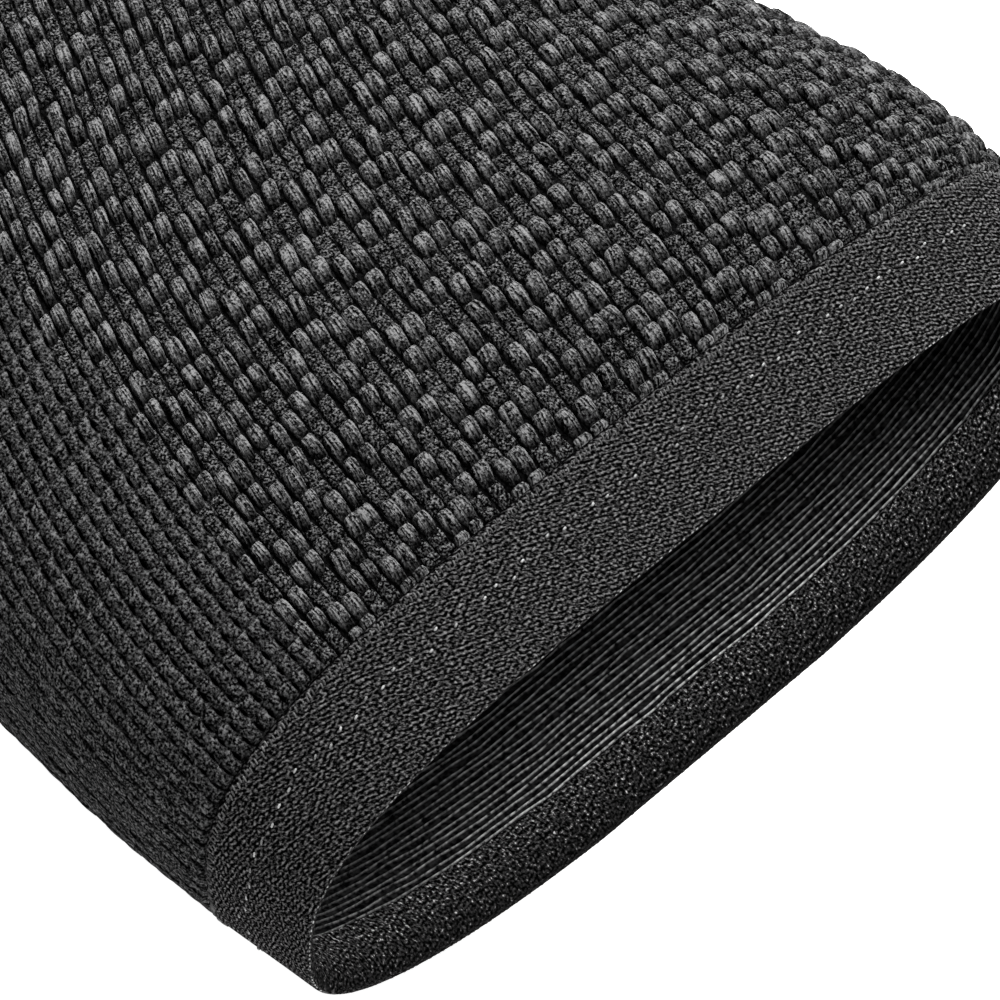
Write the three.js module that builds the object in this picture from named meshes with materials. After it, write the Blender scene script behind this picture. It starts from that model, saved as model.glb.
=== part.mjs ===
// Knitted ankle support, lying empty on its side.
// One knitted tube turns from the leg through the heel into the foot, and a folded tape binds each open edge.
// Millimetres, +Z up. The leg opening faces +X, the foot opening faces +Y, and the sleeve rests on z = 0.
import * as THREE from "three";

// Thickness of the knitted wall, and of the tape that binds its edges
const KNIT_THICK = 2.0;
const TAPE_THICK = 0.7;

// How far the folded tape reaches from the edge, outside and inside the sleeve
const TAPE_OUTSIDE = 12;
const TAPE_INSIDE = 7.2;

// Clearance between the knit and the tape, and the rounding of the tape's fold and of its cut edges
const CLEARANCE = 0.3;
const FOLD_ROUND = 1.0;
const CUT_ROUND = 0.2;

// Slope over which the knit springs back to its full thickness beside the tape
const KNIT_SHOULDER = 0.6;

// Form of the lying tube: how boxy its upper and lower halves are, and how much the knit sags onto the surface
const UPPER_FULLNESS = 3.1;
const LOWER_FULLNESS = 2.3;
const SAG = 0.5;

// Facets: points round the tube, spacing of the rings along it, and fine steps used to measure lengths
const POINTS_ROUND = 48;
const RING_SPACING = 8;
const FINE_STEPS = 400;

// Sections from the leg edge to the foot edge, seen from above.
// back is the side of the calf, heel and sole; front is the side of the shin and instep.
// Each point is [distance down from the leg edge, distance forward from the middle of the leg].
const SECTIONS = [
  { place: "leg edge", back: [0, -55], front: [0, 55], height: 38 },
  { place: "below the cuff", back: [22, -57.5], front: [22, 57], height: 45 },
  { place: "calf", back: [50, -55.5], front: [48, 53.5], height: 45.5 },
  { place: "lower calf", back: [84, -50], front: [78, 46.5], height: 45.5 },
  { place: "ankle", back: [118, -45.5], front: [106, 41.5], height: 45.5 },
  { place: "above the heel", back: [152, -48], front: [128, 42.5], height: 45.5 },
  { place: "back of the heel", back: [186, -56], front: [143, 50], height: 45.5 },
  { place: "turn of the heel", back: [216, -49], front: [151, 61], height: 45 },
  { place: "under the heel", back: [233, -16], front: [155, 74], height: 43 },
  { place: "arch", back: [238, 26], front: [157, 87], height: 41 },
  { place: "midfoot", back: [239, 64], front: [158.5, 98], height: 39 },
  { place: "behind the foot edge", back: [239, 96], front: [159, 108], height: 37 },
  { place: "foot edge", back: [238, 119], front: [159, 130], height: 34 },
];

const asCurve = (points) => new THREE.CatmullRomCurve3(points, false, "catmullrom", 0.5);
const backCurve = asCurve(SECTIONS.map((row) => new THREE.Vector3(-row.back[0], row.back[1], 0)));
const frontCurve = asCurve(SECTIONS.map((row) => new THREE.Vector3(-row.front[0], row.front[1], 0)));
const heightCurve = asCurve(SECTIONS.map((row) => new THREE.Vector3(row.height, 0, 0)));

// Length along the middle of the tube at each fine step
const middleAt = (t) => backCurve.getPoint(t).add(frontCurve.getPoint(t)).multiplyScalar(0.5);
const lengthSoFar = [0];
for (let step = 1; step <= FINE_STEPS; step++) {
  const stretch = middleAt(step / FINE_STEPS).distanceTo(middleAt((step - 1) / FINE_STEPS));
  lengthSoFar.push(lengthSoFar[step - 1] + stretch);
}
const SLEEVE_LENGTH = lengthSoFar[FINE_STEPS];

// Curve parameter at a distance from the leg edge, measured along the middle of the tube
function parameterAt(distance) {
  let step = 1;
  while (step < FINE_STEPS && lengthSoFar[step] < distance) step++;
  const part = (distance - lengthSoFar[step - 1]) / (lengthSoFar[step] - lengthSoFar[step - 1]);
  return (step - 1 + part) / FINE_STEPS;
}

// Outline of a lying tube: from its back edge over the top to its front edge and back underneath.
// The lower half would reach SAG below the surface, so it lies flat there.
function lyingOutline(width, height) {
  const side = height / 2;
  const outline = [];
  for (let step = 0; step < FINE_STEPS; step++) {
    const turn = (step / FINE_STEPS) * 2 * Math.PI;
    const upper = turn < Math.PI;
    const power = 2 / (upper ? UPPER_FULLNESS : LOWER_FULLNESS);
    const across = -Math.sign(Math.cos(turn)) * Math.abs(Math.cos(turn)) ** power * (width / 2);
    const rise = Math.abs(Math.sin(turn)) ** power;
    const up = upper ? side + side * rise : side - (side + SAG) * rise;
    outline.push(new THREE.Vector2(across, Math.max(up, 0)));
  }
  return outline;
}

// Points spaced evenly round a closed outline, each moved in from it by the depth
function evenlyRound(outline, depth) {
  const count = outline.length;
  const travelled = [0];
  for (let i = 0; i < count; i++) {
    travelled.push(travelled[i] + outline[i].distanceTo(outline[(i + 1) % count]));
  }
  const points = [];
  let i = 0;
  for (let k = 0; k < POINTS_ROUND; k++) {
    const goal = (k / POINTS_ROUND) * travelled[count];
    while (travelled[i + 1] < goal) i++;
    const part = (goal - travelled[i]) / (travelled[i + 1] - travelled[i]);
    const point = outline[i].clone().lerp(outline[(i + 1) % count], part);
    const along = outline[(i + 3) % count].clone().sub(outline[(i + count - 2) % count]).normalize();
    points.push(point.add(new THREE.Vector2(along.y, -along.x).multiplyScalar(depth)));
  }
  return points;
}

// One ring of points round the sleeve, at a distance along it and a depth below its outer face
function ringAt({ distance, depth }) {
  const t = parameterAt(distance);
  const back = backCurve.getPoint(t);
  const front = frontCurve.getPoint(t);
  const middle = back.clone().add(front).multiplyScalar(0.5);
  const outward = front.clone().sub(back).normalize();
  const outline = lyingOutline(front.distanceTo(back), heightCurve.getPoint(t).x);
  return evenlyRound(outline, depth).map((p) => [
    middle.x + outward.x * p.x,
    middle.y + outward.y * p.x,
    p.y,
  ]);
}

// Closed wall round the sleeve, swept through a closed chain of rings
function wallThrough(rings) {
  const positions = rings.flatMap(ringAt).flat();
  const index = [];
  for (let ring = 0; ring < rings.length; ring++) {
    const here = ring * POINTS_ROUND;
    const next = ((ring + 1) % rings.length) * POINTS_ROUND;
    for (let k = 0; k < POINTS_ROUND; k++) {
      const after = (k + 1) % POINTS_ROUND;
      index.push(here + k, here + after, next + after);
      index.push(here + k, next + after, next + k);
    }
  }
  const geometry = new THREE.BufferGeometry();
  geometry.setAttribute("position", new THREE.Float32BufferAttribute(positions, 3));
  geometry.setIndex(index);
  geometry.computeVertexNormals();
  return geometry;
}

// Knitted wall: thinner under the outer leaf of the tape, then at its full thickness, then thinner again
function knitRings() {
  const pressed = TAPE_THICK + CLEARANCE;
  const start = TAPE_THICK + CLEARANCE;
  const shoulder = TAPE_OUTSIDE + CLEARANCE;
  const open = shoulder + KNIT_SHOULDER;
  const steps = Math.round((SLEEVE_LENGTH - 2 * open) / RING_SPACING);
  const outer = [
    { distance: start, depth: pressed },
    { distance: shoulder, depth: pressed },
  ];
  for (let step = 0; step <= steps; step++) {
    outer.push({ distance: open + ((SLEEVE_LENGTH - 2 * open) * step) / steps, depth: 0 });
  }
  outer.push({ distance: SLEEVE_LENGTH - shoulder, depth: pressed });
  outer.push({ distance: SLEEVE_LENGTH - start, depth: pressed });
  const inner = outer.map((ring) => ({ distance: ring.distance, depth: KNIT_THICK }));
  return [...outer, ...inner.reverse()];
}

// Tape folded over an edge: its outer leaf, its fold and its shorter inner leaf, then back along its inside
function tapeRings() {
  const whole = KNIT_THICK + TAPE_THICK + CLEARANCE;
  return [
    { distance: TAPE_OUTSIDE, depth: TAPE_THICK },
    { distance: TAPE_OUTSIDE, depth: CUT_ROUND },
    { distance: TAPE_OUTSIDE - CUT_ROUND, depth: 0 },
    { distance: TAPE_OUTSIDE / 2, depth: 0 },
    { distance: FOLD_ROUND, depth: 0 },
    { distance: FOLD_ROUND * 0.3, depth: FOLD_ROUND * 0.3 },
    { distance: 0, depth: FOLD_ROUND },
    { distance: 0, depth: whole - FOLD_ROUND },
    { distance: FOLD_ROUND * 0.3, depth: whole - FOLD_ROUND * 0.3 },
    { distance: FOLD_ROUND, depth: whole },
    { distance: TAPE_INSIDE - CUT_ROUND, depth: whole },
    { distance: TAPE_INSIDE, depth: whole - CUT_ROUND },
    { distance: TAPE_INSIDE, depth: whole - TAPE_THICK },
    { distance: TAPE_THICK, depth: whole - TAPE_THICK },
    { distance: TAPE_THICK, depth: TAPE_THICK },
  ];
}

const fromFootEdge = (ring) => ({ distance: SLEEVE_LENGTH - ring.distance, depth: ring.depth });

const knitMaterial = new THREE.MeshStandardMaterial({ color: 0x2c2c2e, roughness: 0.95, metalness: 0 });
const tapeMaterial = new THREE.MeshStandardMaterial({ color: 0x262628, roughness: 0.9, metalness: 0 });

function namedMesh(name, rings, material) {
  const mesh = new THREE.Mesh(wallThrough(rings), material);
  mesh.name = name;
  return mesh;
}

const ankleSupport = new THREE.Group();
ankleSupport.add(
  namedMesh("knit_sleeve", knitRings(), knitMaterial),
  namedMesh("leg_binding", tapeRings().reverse(), tapeMaterial),
  namedMesh("foot_binding", tapeRings().map(fromFootEdge), tapeMaterial),
);

// The origin is on the surface, under the middle of the sleeve's box
const box = new THREE.Box3().setFromObject(ankleSupport);
const centre = box.getCenter(new THREE.Vector3());
ankleSupport.position.set(-centre.x, -centre.y, -box.min.z);

export default ankleSupport;
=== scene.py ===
import math

import bpy
import numpy as np
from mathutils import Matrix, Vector


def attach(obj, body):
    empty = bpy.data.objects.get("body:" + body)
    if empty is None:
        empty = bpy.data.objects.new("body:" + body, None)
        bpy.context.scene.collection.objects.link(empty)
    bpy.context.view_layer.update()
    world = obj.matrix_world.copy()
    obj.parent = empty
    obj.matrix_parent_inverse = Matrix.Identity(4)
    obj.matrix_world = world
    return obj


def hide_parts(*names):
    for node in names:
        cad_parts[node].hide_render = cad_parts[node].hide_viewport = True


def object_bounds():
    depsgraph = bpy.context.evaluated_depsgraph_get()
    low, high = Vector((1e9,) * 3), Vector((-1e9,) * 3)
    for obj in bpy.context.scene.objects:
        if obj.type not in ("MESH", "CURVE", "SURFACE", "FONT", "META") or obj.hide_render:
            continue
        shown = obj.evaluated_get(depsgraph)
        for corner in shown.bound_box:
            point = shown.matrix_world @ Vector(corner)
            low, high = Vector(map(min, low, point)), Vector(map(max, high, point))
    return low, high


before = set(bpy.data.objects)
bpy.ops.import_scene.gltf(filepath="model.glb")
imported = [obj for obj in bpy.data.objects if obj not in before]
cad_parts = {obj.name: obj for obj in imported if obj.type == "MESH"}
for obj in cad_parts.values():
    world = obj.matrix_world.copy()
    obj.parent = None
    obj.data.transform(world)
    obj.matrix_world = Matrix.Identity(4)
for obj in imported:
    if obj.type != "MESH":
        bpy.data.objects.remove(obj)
cad_low, cad_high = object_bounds()


# Viewpoint
# A close look from above into the leg opening, past its rear corner, with a long lens.
# It is placed from the middle of the leg edge, from which the foot reaches FOOT_REACH metres forward.
FOOT_REACH = 0.130
VIEW_AZIMUTH = math.radians(44.7)
VIEW_ELEVATION = math.radians(51.0)
VIEW_DISTANCE = 0.5104
VIEW_LENS = 186.8
LOOK_OFFSET = Vector((-0.02847, -0.00166, 0.015))
NEAREST_SEEN = 0.01
leg_edge = Vector((cad_high.x, cad_high.y - FOOT_REACH, 0))
looked_at = leg_edge + LOOK_OFFSET
towards_camera = Vector((
    math.sin(VIEW_AZIMUTH) * math.cos(VIEW_ELEVATION),
    -math.cos(VIEW_AZIMUTH) * math.cos(VIEW_ELEVATION),
    math.sin(VIEW_ELEVATION),
))
camera = bpy.data.objects.new("camera", bpy.data.cameras.new("camera"))
camera.data.lens = VIEW_LENS
camera.data.clip_start = NEAREST_SEEN
camera.location = looked_at + towards_camera * VIEW_DISTANCE
camera.rotation_euler = (-towards_camera).to_track_quat("-Z", "Y").to_euler()
bpy.context.scene.collection.objects.link(camera)
bpy.context.scene.camera = camera


# Knitted wall
# One seamless tube of elastic double knit that turns from leg to heel to foot. It lies empty on its side,
# flat where it rests, and is widest a little way in from the leg edge, which the tape holds in.
MM = 0.001
UPPER_FULLNESS = 3.1
LOWER_FULLNESS = 2.3
SAG = 0.5

# Back edge (calf, heel, sole), front edge (shin, instep) and height of the tube, in millimetres.
# Edges are measured down from the leg edge and forward from the middle of the leg.
SECTIONS = np.array([
    # back down, back forward, front down, front forward, height
    (0, -55, 0, 55, 38),
    (22, -57.5, 22, 57, 45),
    (50, -55.5, 48, 53.5, 45.5),
    (84, -50, 78, 46.5, 45.5),
    (118, -45.5, 106, 41.5, 45.5),
    (152, -48, 128, 42.5, 45.5),
    (186, -56, 143, 50, 45.5),
    (216, -49, 151, 61, 45),
    (233, -16, 155, 74, 43),
    (238, 26, 157, 87, 41),
    (239, 64, 158.5, 98, 39),
    (239, 96, 159, 108, 37),
    (238, 119, 159, 130, 34),
], float)


def through(rows, place):
    """Smooth curve through the rows of a table, where place counts rows."""
    ends = np.vstack([2 * rows[0] - rows[1], rows, 2 * rows[-1] - rows[-2]])
    first = np.minimum(place.astype(int), len(rows) - 2)
    part = (place - first)[:, None]
    before, here, after, beyond = (ends[first + step] for step in range(4))
    cubic = 3 * (here - after) + beyond - before
    square = 2 * before - 5 * here + 4 * after - beyond
    return here + 0.5 * part * (after - before + part * (square + part * cubic))


def travelled(points):
    """Length along a line of points up to each of them."""
    steps = np.linalg.norm(np.diff(points, axis=0), axis=1)
    return np.concatenate([[0], np.cumsum(steps)])


# The sleeve's outer face is kept as a grid: a ring of GRID_ROUND points at every GRID_STEP along it
GRID_STEP = 0.5
GRID_ROUND = 360
FINE_SECTIONS = 2400
OUTLINE_POINTS = 481
fine_sections = through(SECTIONS, np.linspace(0, len(SECTIONS) - 1, FINE_SECTIONS))
fine_length = travelled((fine_sections[:, 0:2] + fine_sections[:, 2:4]) / 2)
SLEEVE_LENGTH = fine_length[-1]
grid_distance = np.arange(0, SLEEVE_LENGTH + GRID_STEP, GRID_STEP)
grid_sections = np.stack(
    [np.interp(grid_distance, fine_length, column) for column in fine_sections.T], axis=1)


def lying_outline(width, height):
    """Outline of a lying tube, from its back edge over the top to its front edge and underneath."""
    turn = np.linspace(0, 2 * np.pi, OUTLINE_POINTS)
    upper = turn <= np.pi
    power = 2 / np.where(upper, UPPER_FULLNESS, LOWER_FULLNESS)
    across = -np.sign(np.cos(turn)) * np.abs(np.cos(turn)) ** power * width / 2
    rise = np.abs(np.sin(turn)) ** power
    side = height / 2
    up = np.where(upper, side + side * rise, side - (side + SAG) * rise)
    return np.stack([across, np.maximum(up, 0)], axis=1)


def laid_ring(section):
    """Evenly spaced points round the tube at one section, and the length round it."""
    back = np.array((-section[0], section[1]))
    front = np.array((-section[2], section[3]))
    width = np.linalg.norm(front - back)
    outline = lying_outline(width, section[4])
    length = travelled(outline)
    even = np.linspace(0, length[-1], GRID_ROUND + 1)[:-1]
    across = np.interp(even, length, outline[:, 0])
    plan = (back + front) / 2 + np.outer(across, (front - back) / width)
    up = np.interp(even, length, outline[:, 1])
    return np.column_stack([plan, up]), length[-1]


laid = [laid_ring(section) for section in grid_sections]
grid_points = np.array([ring for ring, _ in laid]) + np.array(leg_edge) / MM
grid_round = np.array([length for _, length in laid])
along_step = np.gradient(grid_points, GRID_STEP, axis=0)
round_step = np.roll(grid_points, -1, axis=1) - np.roll(grid_points, 1, axis=1)
grid_normals = np.cross(round_step, along_step)
grid_normals /= np.linalg.norm(grid_normals, axis=2, keepdims=True)
grid_stretch = np.linalg.norm(along_step, axis=2)


def looked_up(grid, distance, turn):
    """Values of a grid over the sleeve at distances from the leg edge and shares of the way round.

    Rows stop just short of the last one, so that there is always a next row to blend with."""
    row = np.clip(np.asarray(distance) / GRID_STEP, 0, len(grid) - 1.001)
    column = (np.asarray(turn) % 1.0) * GRID_ROUND
    row_before = row.astype(int)
    column_before = column.astype(int) % GRID_ROUND
    column_after = (column_before + 1) % GRID_ROUND
    down = row - row_before
    over = column - np.floor(column)
    if grid.ndim == 3:
        down = down[..., None]
        over = over[..., None]
    near = grid[row_before, column_before] * (1 - over) + grid[row_before, column_after] * over
    far = grid[row_before + 1, column_before] * (1 - over) + grid[row_before + 1, column_after] * over
    return near * (1 - down) + far * down


def on_sleeve(distance, turn, lift):
    """Points in metres, lifted off the sleeve's face by millimetres, and flattened where it lies."""
    points = looked_up(grid_points, distance, turn)
    points = points + looked_up(grid_normals, distance, turn) * np.asarray(lift)[..., None]
    points[..., 2] = np.maximum(points[..., 2], 0.0)
    return points * MM


def from_nearest_edge(distance):
    """How far places along the sleeve are from its nearest open edge."""
    return np.minimum(distance, SLEEVE_LENGTH - distance)


class Shade:
    """A value in a finish's node tree. Arithmetic on it adds Math nodes."""

    def __init__(self, tree, socket=None):
        self.tree = tree
        self.socket = socket

    def add(self, kind, settings, sockets, out=0):
        """Adds a node, sets its settings, then gives its sockets their values or links."""
        node = self.tree.nodes.new("ShaderNode" + kind)
        for name, value in settings.items():
            setattr(node, name, value)
        for name, value in sockets.items():
            if isinstance(value, Shade):
                self.tree.links.new(value.socket, node.inputs[name])
            else:
                node.inputs[name].default_value = value
        return Shade(self.tree, node.outputs[out])

    def maths(self, operation, *values):
        return self.add("Math", {"operation": operation}, dict(enumerate(values)))

    def split(self):
        """The three numbers of a vector."""
        parts = self.add("SeparateXYZ", {}, {"Vector": self})
        outputs = parts.socket.node.outputs
        return [Shade(self.tree, output) for output in outputs]

    def __add__(self, other):
        return self.maths("ADD", self, other)

    def __sub__(self, other):
        return self.maths("SUBTRACT", self, other)

    def __rsub__(self, other):
        return self.maths("SUBTRACT", other, self)

    def __mul__(self, other):
        return self.maths("MULTIPLY", self, other)

    def __truediv__(self, other):
        return self.maths("DIVIDE", self, other)

    def __pow__(self, other):
        return self.maths("POWER", self, other)

    __radd__ = __add__
    __rmul__ = __mul__

    def sine(self):
        return self.maths("SINE", self)

    def clamped(self):
        return self.maths("MINIMUM", self.maths("MAXIMUM", self, 0.0), 1.0)

    def vector(self, x, y, z):
        return self.add("CombineXYZ", {}, {"X": x, "Y": y, "Z": z})

    def blend(self, low, high):
        """Colour between two others, mixed by this value. Sockets 6 and 7 of a Mix node are colours."""
        return self.add("Mix", {"data_type": "RGBA"}, {0: self, 6: (*low, 1), 7: (*high, 1)}, out=2)


def new_finish(name, roughness, gloss):
    """A cloth material of a given gloss, the start of its node tree, and its shader."""
    material = bpy.data.materials.new(name)
    material.use_nodes = True
    shader = material.node_tree.nodes["Principled BSDF"]
    shader.inputs["Roughness"].default_value = roughness
    shader.inputs["Specular IOR Level"].default_value = gloss
    return material, Shade(material.node_tree), shader


def wire_finish(start, shader, colour, height, relief):
    """Links a colour and a bump of the given relief in metres to the shader."""
    bump = start.add("Bump", {}, {"Height": height, "Strength": 1.0, "Distance": relief})
    start.tree.links.new(colour.socket, shader.inputs["Base Color"])
    start.tree.links.new(bump.socket, shader.inputs["Normal"])


YARN_SHADOW = (0.0004, 0.0004, 0.0004)


def painted_shade_ground_finish():
    """Crimped yarn at the bottom of the knit, with loose fibres, coloured near black as painted shade in
    the gaps between stitches.
    """
    material, start, shader = new_finish("base_knit", roughness=0.95, gloss=0.0)
    place = start.add("TexCoord", {}, {}, out="Object")
    crimp = start.add("TexNoise", {}, {"Vector": place, "Scale": 2600.0, "Detail": 3.0, "Roughness": 0.7})
    # Painted shade: the ground is kept near black, so that the gaps between stitches look deeply shaded
    colour = ((crimp - 0.4) * 3.5).clamped().blend(YARN_SHADOW, (0.008, 0.008, 0.0082))
    wire_finish(start, shader, colour, crimp, relief=0.0003)
    return material


def piece_from(name, points, faces, finish):
    """A smooth-shaded mesh piece of four-sided faces that rides on the sleeve."""
    mesh = bpy.data.meshes.new(name)
    mesh.vertices.add(len(points))
    mesh.vertices.foreach_set("co", np.ascontiguousarray(points, np.float32).ravel())
    mesh.loops.add(faces.size)
    mesh.loops.foreach_set("vertex_index", np.ascontiguousarray(faces, np.int32).ravel())
    mesh.polygons.add(len(faces))
    mesh.polygons.foreach_set("loop_start", np.arange(0, faces.size, 4, dtype=np.int32))
    mesh.polygons.foreach_set("use_smooth", np.ones(len(faces), bool))
    mesh.update(calc_edges=True)
    mesh.materials.append(finish)
    piece = bpy.data.objects.new(name, mesh)
    bpy.context.scene.collection.objects.link(piece)
    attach(piece, "root")
    return piece


# Rings start under the sleeve, so that where they close is out of sight
RING_START = 0.75


def wrapped(name, distance, lift, count, finish, wander=0.0):
    """Closed wall swept round the sleeve through a closed chain of rings of count points.

    Each ring has a distance along the sleeve, from which its points may wander, and a lift."""
    distance = np.asarray(distance, float)
    lift = np.asarray(lift, float)
    turn = RING_START + np.arange(count) / count
    points = on_sleeve(distance[:, None] + wander, turn, lift[:, None])
    ring, spot = np.meshgrid(np.arange(len(distance)), np.arange(count), indexing="ij")
    here = ring * count
    beyond = (ring + 1) % len(distance) * count
    spot_after = (spot + 1) % count
    corners = [here + spot, here + spot_after, beyond + spot_after, beyond + spot]
    faces = np.stack(corners, axis=-1).reshape(-1, 4)
    return piece_from(name, points.reshape(-1, 3), faces, finish)


# How far the tape reaches over the wall's outer face
TAPE_OUTSIDE = 12.0

# Depths below the sleeve's outer face: the wall's ground, the same under a tape, and the wall's inner face
BASE_DEPTH = 0.75
PRESSED_DEPTH = 1.05
WALL_BACK = 1.65

# The wall stops short of each edge, inside the tape's fold
EDGE_INSET = 2.4
RING_SPACING = 5.0
WALL_ROUND = 120
wall_rings = np.linspace(EDGE_INSET, SLEEVE_LENGTH - EDGE_INSET, round(SLEEVE_LENGTH / RING_SPACING))
wall_out = np.where(from_nearest_edge(wall_rings) < TAPE_OUTSIDE, -PRESSED_DEPTH, -BASE_DEPTH)
sleeve_wall = wrapped(
    "sleeve_wall",
    np.concatenate([wall_rings, wall_rings[::-1]]),
    np.concatenate([wall_out, np.full(len(wall_rings), -WALL_BACK)]),
    WALL_ROUND, painted_shade_ground_finish())
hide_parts("knit_sleeve")


# Basket panel
# Shin, sides and instep are knitted in a thick basket pattern: in each block of two wales a long raised
# pair of stitches is followed by a short one and by a sunk one, and blocks side by side are out of step.
WALES = 144
COURSE_PITCH = 2.42
TAPE_CROWDING = 0.3
TAPE_CROWDING_REACH = 14.0

# Courses of a block: where its sunk and short stitches end, and about the middle of its raised ones
COURSES_PER_BLOCK = 4
SUNK_END = 1.45
SHORT_END = 2.57
RAISED_MIDDLE = 2.5

# How far the knit goes on under a tape and how low it is held there,
# then the length beside the tape over which it is let go, and the rise that this allows
UNDER_TAPE = 3.0
PRESSED_LIFT = -0.95
SHOULDER = 0.4
SHOULDER_RISE = 3.0

FINE_STEP = 0.1
fine_distance = np.arange(TAPE_OUTSIDE - UNDER_TAPE, SLEEVE_LENGTH - TAPE_OUTSIDE + UNDER_TAPE, FINE_STEP)
from_tape = np.maximum(from_nearest_edge(fine_distance) - TAPE_OUTSIDE, 0)
fine_pitch = COURSE_PITCH * (1 - TAPE_CROWDING * np.exp(-from_tape / TAPE_CROWDING_REACH))
fine_course = np.cumsum(FINE_STEP / fine_pitch)
fine_course -= np.interp(TAPE_OUTSIDE, fine_distance, fine_course)
COURSES = int(np.interp(SLEEVE_LENGTH - TAPE_OUTSIDE, fine_distance, fine_course)) + 1

# How the wales lean round the sleeve, at distances along it
MEAN_ROUND = 268.0
DRIFT_ALONG = (0, 75, 140, 300)
WALE_DRIFT = (0.05, 0.5, 0, 0)
drift_slope = np.interp(grid_distance, DRIFT_ALONG, WALE_DRIFT)
grid_drift = np.cumsum(drift_slope) * GRID_STEP / MEAN_ROUND

# How far apart the wales stand, at shares of the way round from the calf.
# They are closest at the calf and widest on the sides.
SPREAD_ROUND = (0, 0.13, 0.23, 0.35, 0.5, 0.65, 0.77, 0.87, 1)
WALE_SPREAD = (0.83, 0.83, 1.06, 0.99, 0.92, 0.99, 1.06, 0.83, 0.83)
fine_turn = np.linspace(0, 1, 1001)
wale_crowding = 1 / np.interp(fine_turn, SPREAD_ROUND, WALE_SPREAD)
fine_wale = np.cumsum(wale_crowding) - wale_crowding[0]
fine_wale /= fine_wale[-1]

# How far the courses step down beside the calf, and where
COURSE_STEP = 3.0
STEP_ALONG = (12, 60, 90, 140)
STEP_SHARE = (0, 1, 1, 0)
STEP_ROUND = (0, 0.1, 0.25, 0.75, 0.9, 1)
STEP_RISE = (0, 0, 1, 1, 0, 0)

# Half width of the plain knit along the calf, round the heel and under the foot.
# The first row is distances along the sleeve.
PLAIN_ALONG = (0, 16, 30, 45, 66, 110, 150, 180, 205, 235, 300)
PLAIN_HALF_WIDTH = (28, 28.5, 32, 33, 36, 38, 46, 64, 58, 40, 34)

# How much single stitches vary: width, lean, height, and place across and along their wale
WIDTH_VARIES = 0.1
LEAN_VARIES = 0.14
HEIGHT_VARIES = 0.09
PLACE_ACROSS_VARIES = 0.05
PLACE_ALONG_VARIES = 0.08

# A stitch's half width in wales, how round its back is, and how deep it goes into the wall
STITCH_HALF_WIDTH = 0.49
STITCH_ROUNDNESS = 0.7
STITCH_FOOT = -BASE_DEPTH - 0.1

chance = np.random.default_rng(7)


def knit_at(wale, course):
    """Distance along the sleeve and share of the way round of wale and course numbers."""
    distance = np.interp(course, fine_course, fine_distance)
    even = wale / WALES + np.interp(distance, grid_distance, grid_drift)
    turn = np.interp(even % 1.0, fine_wale, fine_turn)
    step = np.interp(turn, STEP_ROUND, STEP_RISE) * np.interp(distance, STEP_ALONG, STEP_SHARE)
    return distance + COURSE_STEP * step, turn


def knit_place(wale, course, lift):
    """Points at wale and course numbers, pressed down where they go under a tape."""
    distance, turn = knit_at(wale, course)
    clear = np.clip((from_nearest_edge(distance) - TAPE_OUTSIDE) / SHOULDER, 0, 1)
    return on_sleeve(distance, turn, np.minimum(lift, PRESSED_LIFT + SHOULDER_RISE * clear))


def in_basket(wale, course):
    """Whether a place is in the basket panel and not in the plain knit."""
    distance, turn = knit_at(wale, course)
    arc = np.minimum(turn, 1 - turn) * np.interp(distance, grid_distance, grid_round)
    return arc > np.interp(distance, PLAIN_ALONG, PLAIN_HALF_WIDTH)


def per_stitch(values):
    """One value for each stitch, shaped to spread over the stitch's stations and sides."""
    return values[:, None, None]


def every_stitch(faces, count, points_each):
    """The faces of one stitch, repeated for a count of stitches."""
    return (faces[None] + per_stitch(np.arange(count) * points_each)).reshape(-1, 4)


def keep_marks(piece, name, marks, where="POINT"):
    """Keeps three numbers at each point or face corner of a piece, for its finish to read."""
    kept = piece.data.attributes.new(name, "FLOAT_VECTOR", where)
    kept.data.foreach_set("vector", np.ascontiguousarray(marks, np.float32).ravel())


def rounded_stitches(name, finish, wale, start, end, profile, crown, sides, squareness, loose):
    """Joined closed stitches, each a rounded bar along its wale from its start to its end course.

    profile rows are station, width and height, crown is the lift of the top, squareness flattens the
    bar's sides, and loose is how far each stitch strays from its place."""
    count = len(wale)
    stations, widths, heights = profile.T
    jitter = chance.normal(0, 1, (count, 5))
    station = stations[None, :, None]
    angle = np.linspace(0, np.pi, sides)
    flattened = np.sign(np.cos(angle)) * np.abs(np.cos(angle)) ** squareness
    sideways = flattened[None, None, :] * widths[None, :, None]
    wide = per_stitch(1 + WIDTH_VARIES * loose * jitter[:, 0])
    lean = per_stitch(LEAN_VARIES * loose * jitter[:, 1])
    high = per_stitch(1 + HEIGHT_VARIES * jitter[:, 2])
    moved_across = per_stitch(PLACE_ACROSS_VARIES * loose * jitter[:, 3])
    moved_along = per_stitch(PLACE_ALONG_VARIES * loose * jitter[:, 4])
    across = per_stitch(wale) + STITCH_HALF_WIDTH * sideways * wide + lean * (station - 0.5) + moved_across
    along = per_stitch(start) + per_stitch(end - start) * station + moved_along
    bulge = np.sin(angle)[None, None, :] ** STITCH_ROUNDNESS * heights[None, :, None]
    points = knit_place(across, along, STITCH_FOOT + (crown - STITCH_FOOT) * high * bulge)
    luck = per_stitch(chance.random(count))
    marks = np.stack(np.broadcast_arrays(sideways, 1 - station, luck), axis=-1)
    ring = np.arange(sides)
    faces = []
    for row in range(len(stations) - 1):
        here = row * sides + ring
        beside = np.roll(here, -1)
        faces.append(np.stack([here, here + sides, beside + sides, beside], axis=1))
    last = (len(stations) - 1) * sides
    for side in range(0, sides - 2, 2):
        side_end = min(side + 3, sides - 1)
        faces.append(np.array([[0, side + 1, side + 2, side_end]]))
        faces.append(np.array([[last, last + side_end, last + side + 2, last + side + 1]]))
    all_faces = every_stitch(np.concatenate(faces), count, len(stations) * sides)
    stitches = piece_from(name, points.reshape(-1, 3), all_faces, finish)
    keep_marks(stitches, "yarn", marks)
    return stitches


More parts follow.
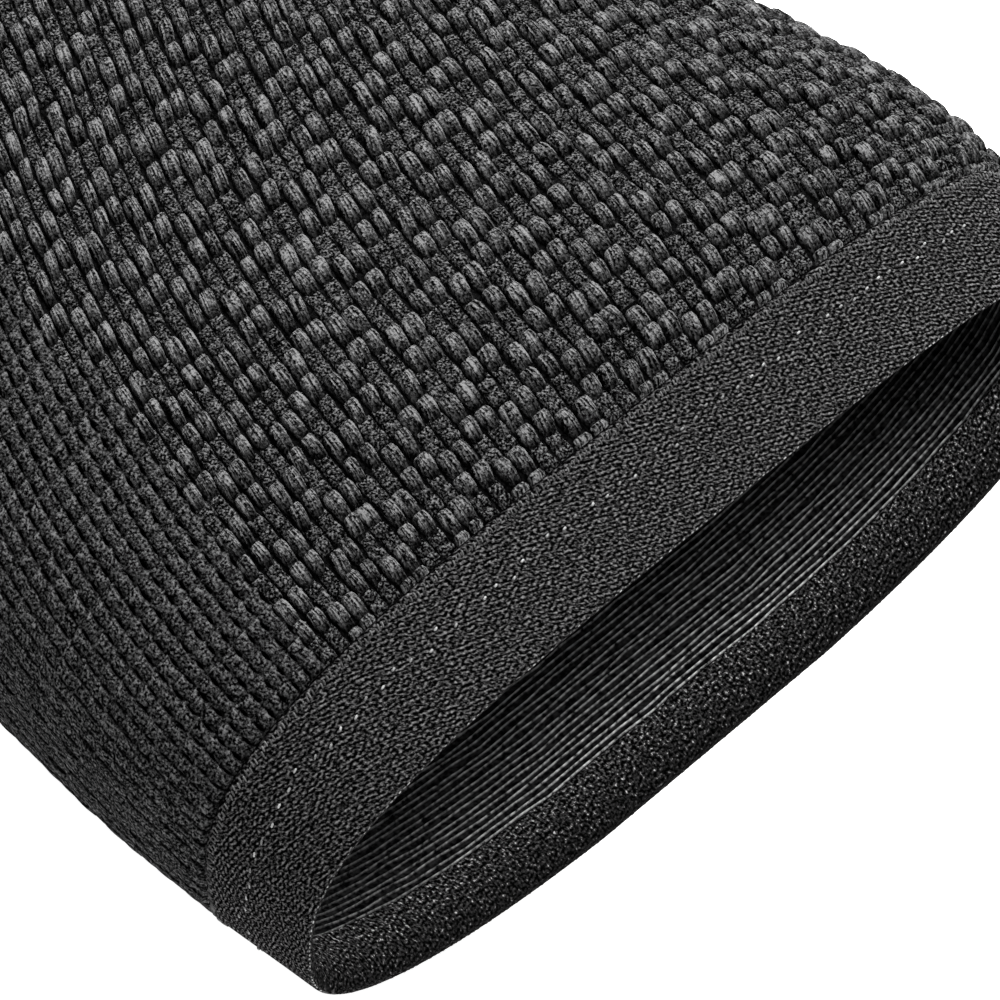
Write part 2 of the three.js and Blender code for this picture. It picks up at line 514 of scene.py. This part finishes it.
# Strands of the yarn: how many lie across a stitch and how they change along it, how far apart stitches
# are in their noise, how far the fuzz bends them, and how close they are at the stitch's head
STRANDS_ACROSS = 4.4
STRANDS_ALONG = 1.5
STITCHES_APART = 91.0
FUZZ_BEND = 0.6
HEAD_WIDTH = 0.55

# Where across a stitch its lit rim, a painted highlight, is, and how narrow
RIM_PLACE = 0.75
RIM_NARROWNESS = 12.0


def yarn_finish(name, light, level, contrast, grain, strand_weight, side_shade, end_shade, rim_highlight):
    """Fuzzy yarn whose strands fan out from the stitch's head, with loose fibres over them.

    It has painted shade between the stitch's legs and beside its waist, and a painted highlight along one
    side, the rim."""
    material, start, shader = new_finish(name, roughness=0.9, gloss=0.0)
    across, along, luck = start.add("Attribute", {"attribute_name": "yarn"}, {}, out="Vector").split()
    place = start.add("TexCoord", {}, {}, out="Object")
    fuzz = start.add("TexNoise", {}, {"Vector": place, "Scale": grain, "Detail": 1.5, "Roughness": 0.6})
    spread = across / (along * (1 - HEAD_WIDTH) + HEAD_WIDTH) + (fuzz - 0.5) * FUZZ_BEND
    strand_place = start.vector(spread * STRANDS_ACROSS, along * STRANDS_ALONG, luck * STITCHES_APART)
    strands = start.add("TexNoise", {}, {"Vector": strand_place, "Scale": 1.0, "Detail": 1.5})
    texture = (fuzz - 0.5) * (1 - strand_weight) + (strands - 0.5) * (1.4 * strand_weight)
    # Painted shade: darker between the stitch's legs towards its tail, and beside its waist
    legs = ((along - 0.4) * 2.2).clamped()
    painted_shade_between_legs = legs * (1 - across * across * 0.75)
    waist = along * (1 - along) * 4.0
    shaded = (1 - across ** 4.0 * waist * side_shade).clamped() * (1 - painted_shade_between_legs * end_shade)
    # Painted highlight along one side of the stitch, its lit rim
    from_rim = across - RIM_PLACE
    painted_rim_highlight = (1 - from_rim * from_rim * RIM_NARROWNESS).clamped() * rim_highlight
    tone = (level + texture * contrast + painted_rim_highlight) * shaded * (0.95 + luck * 0.1)
    colour = (tone.clamped() ** 2.0).blend(YARN_SHADOW, light)
    wire_finish(start, shader, colour, texture, relief=0.0002)
    return material


blocks = WALES // 2
periods = COURSES // COURSES_PER_BLOCK + 1
block, period = np.meshgrid(np.arange(blocks), np.arange(-1, periods), indexing="ij")
block = block.ravel()
first_course = (period.ravel() * COURSES_PER_BLOCK + (block % 2) * COURSES_PER_BLOCK / 2).astype(float)
raised = in_basket(block * 2 + 1.0, first_course + RAISED_MIDDLE)

# Courses of a stitch that have to show beside a tape, and that may be tucked under it
LEAST_SHOWN = 0.2
TUCKED_AT_LEG = 1.5
TUCKED_AT_FOOT = 1.2


def basket_rows(begin, stop):
    """Wales, start courses and end courses of one kind of stitch in the basket panel's blocks."""
    wale = np.concatenate([block[raised] * 2 + side + 0.5 for side in range(2)])
    start = np.tile(first_course[raised] + begin, 2)
    end = np.tile(first_course[raised] + stop, 2)
    shows = (end > LEAST_SHOWN) & (start < COURSES - LEAST_SHOWN)
    fits = (start > -TUCKED_AT_LEG) & (end < COURSES + TUCKED_AT_FOOT)
    return wale[shows & fits], start[shows & fits], end[shows & fits]


# Raised stitches have a narrow tail, which starts under the stitch before, and a full head
BAR_PROFILE = np.array([
    # station, width, height
    (0, 0.52, 0.1),
    (0.16, 0.7, 0.56),
    (0.46, 0.9, 0.92),
    (0.76, 0.98, 1.0),
    (0.93, 0.82, 0.84),
    (1.0, 0.42, 0.3),
])
TAIL_OVERLAP = 0.3
HEAD_OVERLAP = 0.05
RAISED_STITCHES = (
    # kind, start and end in a block, lift of the top
    ("short", SUNK_END - TAIL_OVERLAP, SHORT_END + HEAD_OVERLAP, 0.06),
    ("long", SHORT_END - TAIL_OVERLAP, COURSES_PER_BLOCK, 0.16),
)
basket_finish = yarn_finish(
    "basket_yarn", light=(0.168, 0.168, 0.169), level=0.54, contrast=4.4, grain=3700.0,
    strand_weight=0.42, side_shade=0.35, end_shade=0.8, rim_highlight=0.16)
for kind, begin, stop, crown in RAISED_STITCHES:
    stitches = rounded_stitches(
        f"basket_stitches_{kind}", basket_finish, *basket_rows(begin, stop), BAR_PROFILE, crown,
        sides=6, squareness=0.5, loose=0.75)

# Two low stitches fill the sunk part of a block
LOW_PROFILE = np.array([
    # station, width, height
    (0, 0.95, 0.75),
    (0.5, 1.05, 1.0),
    (1.0, 0.9, 0.7),
])
SUNK_CROWN = -0.32
SUNK_OVERLAP = 0.05
# The sunk stitches' yarn is coloured darker than the raised stitches' yarn, as painted shade of their
# recess
shaded_sunk_finish = yarn_finish(
    "sunk_yarn", light=(0.138, 0.138, 0.139), level=0.41, contrast=4.0, grain=4000.0,
    strand_weight=0.0, side_shade=0.4, end_shade=0.2, rim_highlight=0.0)
sunk_half = SUNK_END / 2
sunk_starts = (-SUNK_OVERLAP, sunk_half - SUNK_OVERLAP)
sunk = [basket_rows(begin, begin + sunk_half + 2 * SUNK_OVERLAP) for begin in sunk_starts]
wale, start, end = (np.concatenate(column) for column in zip(*sunk))
sunk_stitches = rounded_stitches(
    "sunk_stitches", shaded_sunk_finish, wale, start, end, LOW_PROFILE, SUNK_CROWN,
    sides=4, squareness=0.4, loose=0.5)


# Plain knit
# Calf, heel and sole are a thinner plain rib: single stitches stand in columns with a gap beside each.
# Where the heel is turned, courses are added so that the stitches keep their length.
HEEL_STRETCH = 1.45
HEEL_SHARE = 0.45
RIB_CROWN = -0.05
RIB_PROFILE = np.array([
    # station, width, height
    (0, 1.3, 0.92),
    (0.4, 0.84, 1.0),
    (0.62, 0.84, 1.0),
    (1.0, 1.3, 0.92),
])
rib_finish = yarn_finish(
    "rib_yarn", light=(0.108, 0.108, 0.109), level=0.5, contrast=3.7, grain=3600.0,
    strand_weight=0.1, side_shade=1.0, end_shade=0.15, rim_highlight=0.16)
wale_number, course_number = np.meshgrid(np.arange(WALES), np.arange(COURSES), indexing="ij")
wale_number = wale_number.ravel() + 0.5
course_number = course_number.ravel().astype(float)

# A place is plain where the basket block that it would belong to is not raised
in_block = (wale_number // 2).astype(int)
block_offset = (in_block % 2) * COURSES_PER_BLOCK / 2
own_period = np.floor((course_number + 0.5 - block_offset) / COURSES_PER_BLOCK)
own_first = own_period * COURSES_PER_BLOCK + block_offset
plain = ~in_basket(in_block * 2 + 1.0, own_first + RAISED_MIDDLE)
wale = wale_number[plain]
start = course_number[plain]

# Stitches reach a little past their course, and there are two to a course where the heel stretches it
RIB_LENGTH = 1.02
HEEL_RIB_LENGTH = 0.51
stretched = looked_up(grid_stretch, *knit_at(wale, start + 0.5)) > HEEL_STRETCH
heel_wale = wale[stretched]
heel_start = start[stretched]
parts = [
    (wale[~stretched], start[~stretched], start[~stretched] + RIB_LENGTH),
    (heel_wale, heel_start, heel_start + HEEL_RIB_LENGTH),
    (heel_wale, heel_start + 0.5, heel_start + 0.5 + HEEL_RIB_LENGTH),
]
wale, start, end = (np.concatenate(column) for column in zip(*parts))
heel_course = COURSES * HEEL_SHARE
for place, chosen in (("leg", start < heel_course), ("foot", start >= heel_course)):
    ribs = rounded_stitches(
        f"rib_stitches_{place}", rib_finish, wale[chosen], start[chosen], end[chosen],
        RIB_PROFILE, RIB_CROWN, sides=4, squareness=0.1, loose=0.25)


# Inside of the knit
# Elastic thread is laid into the back of the knit, ring after ring, which makes the sleeve grip.
# On the inside it shows as close rings of smooth thread over dark yarn, with painted light on the thread,
# brightest beside the tape.
TAPE_INSIDE = 6.3
INLAY_UNDER_TAPE = 0.8
INLAY_START = TAPE_INSIDE - INLAY_UNDER_TAPE

# Points in a ring, lifts of the rings' ground and of their back, and how many rings the back has
INLAY_ROUND = 72
INLAY_LIFT = -1.85
BACK_LIFT = -1.7
BACK_RINGS = 60

# Pitch, rise and wander of the thread, and the places of its two sides and its crest in the pitch
THREAD_PITCH = 0.74
THREAD_RISE = 0.22
THREAD_WANDER = 0.08
THREAD_STEPS = ((0.31, 0.0), (0.5, 1.0), (0.69, 0.0))

# How bright the thread is painted, as painted light and shade: at shares of the way round, at the foot as
# a share of the leg's, deep inside, and how much brighter beside a tape and over what length that fades
PAINTED_LIGHT_ROUND = (0.5, 0.58, 0.67, 0.8, 0.9, 1.0)
THREAD_PAINTED_LIGHT = (0.1, 0.18, 0.43, 0.45, 0.15, 0.07)
FOOT_PAINTED_LIGHT = 0.4
DEEP_PAINTED_LIGHT = 0.42
TAPE_SIDE_PAINTED_LIGHT = 0.9
FADE_LENGTH = 3.0


def inlay_finish():
    """Shiny elastic thread on the crests and dark yarn between; the thread's painted light and shade comes
    with its ridge mark.
    """
    material, start, shader = new_finish("elastic_inlay", roughness=0.5, gloss=0.01)
    ridge, near, _ = start.add("Attribute", {"attribute_name": "ridge"}, {}, out="Vector").split()
    place = start.add("TexCoord", {}, {}, out="Object")
    spots = start.add("TexNoise", {}, {"Vector": place, "Scale": 1900.0, "Detail": 3.0})
    # near is the painted light and shade on the thread
    crest = (ridge ** 0.9 * (spots * 4.4 - 1.3) * near).clamped()
    ground = (spots - 0.4).clamped() * 0.06
    colour = (crest + ground).blend((0.0004, 0.0004, 0.0006), (1.0, 1.0, 1.0))
    wire_finish(start, shader, colour, spots, relief=0.00008)
    return material


inlay_count = int((SLEEVE_LENGTH - 2 * INLAY_START) / THREAD_PITCH)
inlay_steps = [(turn, step, rise) for turn in range(inlay_count) for step, rise in THREAD_STEPS]
inlay_distance = [INLAY_START + (turn + step) * THREAD_PITCH for turn, step, _ in inlay_steps]
inlay_rise = [rise for _, _, rise in inlay_steps]
inlay_lift = [INLAY_LIFT - THREAD_RISE * rise for rise in inlay_rise]
thread_wander = chance.normal(0, THREAD_WANDER, (inlay_count, INLAY_ROUND))
inlay_wander = np.repeat(thread_wander, len(THREAD_STEPS), axis=0)
back_distance = np.linspace(inlay_distance[-1], inlay_distance[0], BACK_RINGS)
along_sleeve = np.concatenate([inlay_distance, back_distance])[::-1]
inside = wrapped(
    "inside_threads",
    along_sleeve,
    np.concatenate([inlay_lift, np.full(BACK_RINGS, BACK_LIFT)])[::-1],
    INLAY_ROUND, inlay_finish(),
    wander=np.vstack([inlay_wander, np.zeros((BACK_RINGS, INLAY_ROUND))])[::-1])
ridge = np.concatenate([inlay_rise, np.zeros(BACK_RINGS)])[::-1]
# Painted light on the thread: brightest beside a tape, dimmer deeper in, round the sides and at the foot
from_leaf = np.maximum(from_nearest_edge(along_sleeve) - TAPE_INSIDE, 0)
near = DEEP_PAINTED_LIGHT + TAPE_SIDE_PAINTED_LIGHT * np.exp(-from_leaf / FADE_LENGTH)
near = np.where(along_sleeve < SLEEVE_LENGTH / 2, near, FOOT_PAINTED_LIGHT * near)
turn = (RING_START + np.arange(INLAY_ROUND) / INLAY_ROUND) % 1.0
shown = near[:, None] * np.interp(turn, PAINTED_LIGHT_ROUND, THREAD_PAINTED_LIGHT)
keep_marks(inside, "ridge", np.stack(np.broadcast_arrays(ridge[:, None], shown, 0.0), axis=-1))


# Binding tapes
# A fine knitted tape is folded over each open edge and sewn through. Its wide leaf lies outside, its
# narrower one inside, and the fold is pressed flat.
TAPE_ROUND = 240
TAPE_THICK = 0.5
TAPE_LIFT = 0.02
FOLD_ROUND = 0.4
HEM_THICK = 2.3
TAPE_WALE = 0.72
TAPE_COURSE = 0.47

# Lengths in the tape's look: the turn of the fold, the fade of painted light and shade along the inner
# leaf, the painted shade at the cut, how its lines sway round the sleeve and across the tape, and the size
# of its grains
TURN_LENGTH = 0.8
INNER_FADE = 6.0
CUT_SHADE = 0.35
SWAY_ROUND = 1.6
SWAY_ACROSS = 1.2
SWAY_SHARE = 0.9
GRAIN_ROUND = 0.36
GRAIN_ACROSS = 0.42


def tape_finish(fold_at):
    """Fine knitted tape: slanting lines of grains, a few of them bright as painted glints, with painted
    shade past the fold and at the cut.
    """
    material, start, shader = new_finish("tape_knit", roughness=0.85, gloss=0.0)
    around, across, _ = start.add("Attribute", {"attribute_name": "tape"}, {}, out="Vector").split()
    inside = ((across - fold_at) / TURN_LENGTH).clamped()
    near_cut = ((across - fold_at) / INNER_FADE).clamped()
    # Painted shade on the inner leaf, darkest next to the fold and fading towards its cut
    painted_fold_shade = inside * (1 - near_cut)
    sway = start.add("TexNoise", {"noise_dimensions": "2D"}, {
        "Vector": start.vector(around / SWAY_ROUND, across / SWAY_ACROSS, 0.0), "Scale": 1.0})
    slanting = around / (2 * TAPE_WALE) - across / TAPE_COURSE + sway * SWAY_SHARE
    crossing = around / (2 * TAPE_WALE) + across / TAPE_COURSE + sway * SWAY_SHARE
    lattice = (slanting * math.tau).sine() * (0.62 - inside * 0.4) + (crossing * math.tau).sine() * 0.38
    over = slanting * 1.9 * (1 - inside) + across / GRAIN_ACROSS * inside
    grains = start.add("TexNoise", {"noise_dimensions": "2D"}, {
        "Vector": start.vector(over, around / GRAIN_ROUND, 0.0),
        "Scale": 1.0, "Detail": 2.0, "Roughness": 0.6})
    # Painted glints on the brightest grains, most of them on the inner leaf near its cut
    painted_glints = ((grains - 0.68) * 8.0).clamped() * (0.05 + inside * near_cut * 1.9)
    # Painted shade along the outer cut edge, next to the knit
    painted_cut_shade = (across / CUT_SHADE).clamped()
    tone = (0.28 + ((grains - 0.5) * 2.7 + lattice * 0.34) * (1 - painted_fold_shade * 0.5)) * painted_cut_shade
    # Painted light and shade: brighter on the inner leaf near its cut, darker next to the fold
    painted_light = 0.25 + inside * near_cut * 0.13 - painted_fold_shade * 0.19
    colour = (tone.clamped() ** 2.0 * painted_light + painted_glints).blend(YARN_SHADOW, (0.6, 0.586, 0.593))
    wire_finish(start, shader, colour, grains + lattice * 0.1, relief=0.00004)
    return material


def tape_profile():
    """Distance from the edge and lift along the folded tape's outer skin, then back along its inside.

    The fold is pressed sharp, and the inner leaf leads away from it to the full thickness of the hem."""
    bends = np.linspace(0, np.pi / 2, 5)
    outer_cut = [(TAPE_OUTSIDE, -0.25), (TAPE_OUTSIDE - 0.15, -0.04), (TAPE_OUTSIDE - 0.5, TAPE_LIFT)]
    outer_leaf = [(place, TAPE_LIFT) for place in np.linspace(TAPE_OUTSIDE - 1.5, FOLD_ROUND + 1, 9)]
    fold = [(FOLD_ROUND * (1 - math.sin(bend)), -FOLD_ROUND * (1 - math.cos(bend))) for bend in bends]
    slope = [(0.1, -0.7), (0.5, -1.15), (1.2, -1.65), (2.1, -2.05), (3.2, -0.97 * HEM_THICK)]
    inner_leaf = [(place, -HEM_THICK) for place in np.linspace(4.2, TAPE_INSIDE - 0.4, 3)]
    inner_cut = [(TAPE_INSIDE - 0.1, -HEM_THICK + 0.05), (TAPE_INSIDE, -HEM_THICK + 0.2)]
    under_inner = [(TAPE_INSIDE, -HEM_THICK + TAPE_THICK), (2.2, -1.45), (0.9, -0.7)]
    under_outer = [(TAPE_THICK + 0.2, -TAPE_THICK), (TAPE_OUTSIDE, -TAPE_THICK)]
    skin = outer_cut + outer_leaf + fold + slope + inner_leaf + inner_cut
    return np.array(skin + under_inner + under_outer)


def mark_tape(tape, length):
    """Keeps how far round the sleeve and across the tape each face corner is, for the tape's knit."""
    ring, spot = np.meshgrid(np.arange(len(length)), np.arange(TAPE_ROUND), indexing="ij")
    here = length[ring]
    beyond = length[(ring + 1) % len(length)]
    around = np.stack([spot, spot + 1, spot + 1, spot], axis=-1) / TAPE_ROUND * MEAN_ROUND
    across = np.stack([here, here, beyond, beyond], axis=-1)
    keep_marks(tape, "tape", np.stack([around, across, 0 * across], axis=-1), "CORNER")


profile = tape_profile()
profile_length = travelled(profile)
tape_cloth = tape_finish(TAPE_OUTSIDE)
tape_runs = {"leg": (profile[:, 0], -1), "foot": (SLEEVE_LENGTH - profile[:, 0], 1)}
for place, (distance, direction) in tape_runs.items():
    tape = wrapped(
        f"{place}_tape", distance[::direction], profile[::direction, 1], TAPE_ROUND, tape_cloth)
    mark_tape(tape, profile_length[::direction])
    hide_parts(f"{place}_binding")


# Sewing
# Each tape is sewn down with a close slanted stitch over its outer cut edge and a straight row below it.
# Small loops of the tape's own thread stand along the fold.
SEWING_ROWS = {
    # slant is in degrees from the row, thick is half the thread's width, stray is how uneven the row is
    "edge": dict(from_edge=11.3, spacing=0.45, length=0.6, slant=66, thick=0.09, lift=-0.01, stray=0.12),
    "row": dict(from_edge=7.35, spacing=1.8, length=0.5, slant=12, thick=0.1, lift=0.03, stray=0.35),
    "fold": dict(from_edge=0.12, spacing=0.6, length=0.4, slant=3, thick=0.085, lift=-0.26, stray=0.03),
}
# How light each row's thread is: partly the thread's own pale colour, partly painted highlight
THREAD_TONE_AND_HIGHLIGHT = {"edge": 0.22, "row": 0.7, "fold": 0.55}
THREAD_ARCH = 0.1
THREAD_STATIONS = np.array([0, 0.2, 0.8, 1.0])
THREAD_SWELL = np.array([0.3, 1.0, 1.0, 0.3])
THREAD_SIDES = 4

# How unevenly the threads are spaced, as a share of the spacing, and slanted, in degrees
SPACING_VARIES = 0.12
SLANT_VARIES = 5


def sewing_finish(name, light):
    """Smooth twisted thread that catches the light, with painted highlights brighter on some threads than
    others.
    """
    material, start, shader = new_finish(f"{name}_thread", roughness=0.45, gloss=0.1)
    across, along, luck = start.add("Attribute", {"attribute_name": "yarn"}, {}, out="Vector").split()
    twist = ((along * 3.0 + across) * math.tau).sine() * 0.5 + 0.5
    colour = (twist * 0.4 + luck * luck * 0.6).blend((light * 0.1,) * 3, (light,) * 3)
    wire_finish(start, shader, colour, twist, relief=0.00004)
    return material


def sewn_row(place, name, finish, from_edge, spacing, length, slant, thick, lift, stray):
    """One row of short threads lying on the tape at the leg or the foot."""
    at_foot = place == "foot"
    row_distance = SLEEVE_LENGTH - from_edge if at_foot else from_edge
    inward = -1 if at_foot else 1
    around = np.interp(row_distance, grid_distance, grid_round)
    count = round(around / spacing)
    uneven = chance.uniform(-SPACING_VARIES, SPACING_VARIES, count)
    centre = per_stitch((np.arange(count) + uneven) / count)
    strayed = np.clip(chance.normal(0, stray, count), -2 * stray, 2 * stray)
    distance = row_distance + per_stitch(strayed)
    tilt = per_stitch(np.radians(slant + chance.normal(0, SLANT_VARIES, count)))
    along = (THREAD_STATIONS - 0.5)[None, :, None] * length
    angle = (np.arange(THREAD_SIDES) * 2 * np.pi / THREAD_SIDES)[None, None, :]
    swell = thick * THREAD_SWELL[None, :, None]
    side = np.cos(angle) * swell
    up = lift + THREAD_ARCH * np.cos(np.pi * along / length) + np.sin(angle) * swell
    step_round = along * np.cos(tilt) - side * np.sin(tilt)
    step_along = along * np.sin(tilt) + side * np.cos(tilt)
    points = on_sleeve(distance + step_along * inward, centre + step_round / around, up)
    luck = per_stitch(chance.random(count))
    marks = np.stack(np.broadcast_arrays(np.cos(angle), along / length + 0.5, luck), axis=-1)
    ring = np.arange(THREAD_SIDES)
    faces = []
    for row in range(len(THREAD_STATIONS) - 1):
        here = row * THREAD_SIDES + ring
        beside = np.roll(here, -1)
        faces.append(np.stack([here, beside, beside + THREAD_SIDES, here + THREAD_SIDES], axis=1))
    last = (len(THREAD_STATIONS) - 1) * THREAD_SIDES
    faces.append(np.array([[0, 3, 2, 1]]))
    faces.append(last + np.array([[0, 1, 2, 3]]))
    all_faces = every_stitch(np.concatenate(faces), count, len(THREAD_STATIONS) * THREAD_SIDES)
    sewn = piece_from(f"{place}_tape_{name}_stitches", points.reshape(-1, 3), all_faces, finish)
    keep_marks(sewn, "yarn", marks)


for name, sizes in SEWING_ROWS.items():
    thread_finish = sewing_finish(name, THREAD_TONE_AND_HIGHLIGHT[name])
    for place in ("leg", "foot"):
        sewn_row(place, name, thread_finish, **sizes)


# Floor and light
# A plain pale floor that glows, so that it looks pure white, under a white studio dome.
# One soft light stands behind the sleeve on its shin side, and one hangs high in front of its leg opening.
FLOOR_HALF = 3.0
FLOOR_LEVEL = -0.0001
FLOOR_GLOW = 0.95
DOME_STRENGTH = 0.26
WHITE = (1, 1, 1, 1)
floor_mesh = bpy.data.meshes.new("floor")
floor_mesh.from_pydata(
    [(x * FLOOR_HALF, y * FLOOR_HALF, FLOOR_LEVEL) for x, y in ((-1, -1), (1, -1), (1, 1), (-1, 1))],
    [], [(0, 1, 2, 3)])
floor = bpy.data.objects.new("floor", floor_mesh)
bpy.context.scene.collection.objects.link(floor)
floor_finish, start, shader = new_finish("pale_floor", roughness=0.9, gloss=0.0)
place = start.add("TexCoord", {}, {}, out="Object")
mottle = start.add("TexNoise", {}, {"Vector": place, "Scale": 3.0})
pale = mottle.blend((0.9, 0.9, 0.9), (0.94, 0.94, 0.94))
wire_finish(start, shader, pale, mottle, relief=0.00001)
shader.inputs["Emission Color"].default_value = WHITE
shader.inputs["Emission Strength"].default_value = FLOOR_GLOW
floor_mesh.materials.append(floor_finish)

world = bpy.data.worlds.new("studio")
world.use_nodes = True
world.node_tree.nodes["Background"].inputs["Color"].default_value = WHITE
world.node_tree.nodes["Background"].inputs["Strength"].default_value = DOME_STRENGTH
bpy.context.scene.world = world


def soft_light(name, place, size, power):
    """A square area light that points at the middle of the leg edge."""
    lamp = bpy.data.lights.new(name, "AREA")
    lamp.size = size
    lamp.energy = power
    light = bpy.data.objects.new(name, lamp)
    light.location = place
    light.rotation_euler = (leg_edge - Vector(place)).to_track_quat("-Z", "Y").to_euler()
    bpy.context.scene.collection.objects.link(light)


soft_light("key", place=(-0.3, 0.28, 0.5), size=0.25, power=9.5)
soft_light("fill", place=(0.44, 0.19, 0.88), size=0.35, power=9.3)

bpy.context.scene.view_settings.view_transform = "Standard"
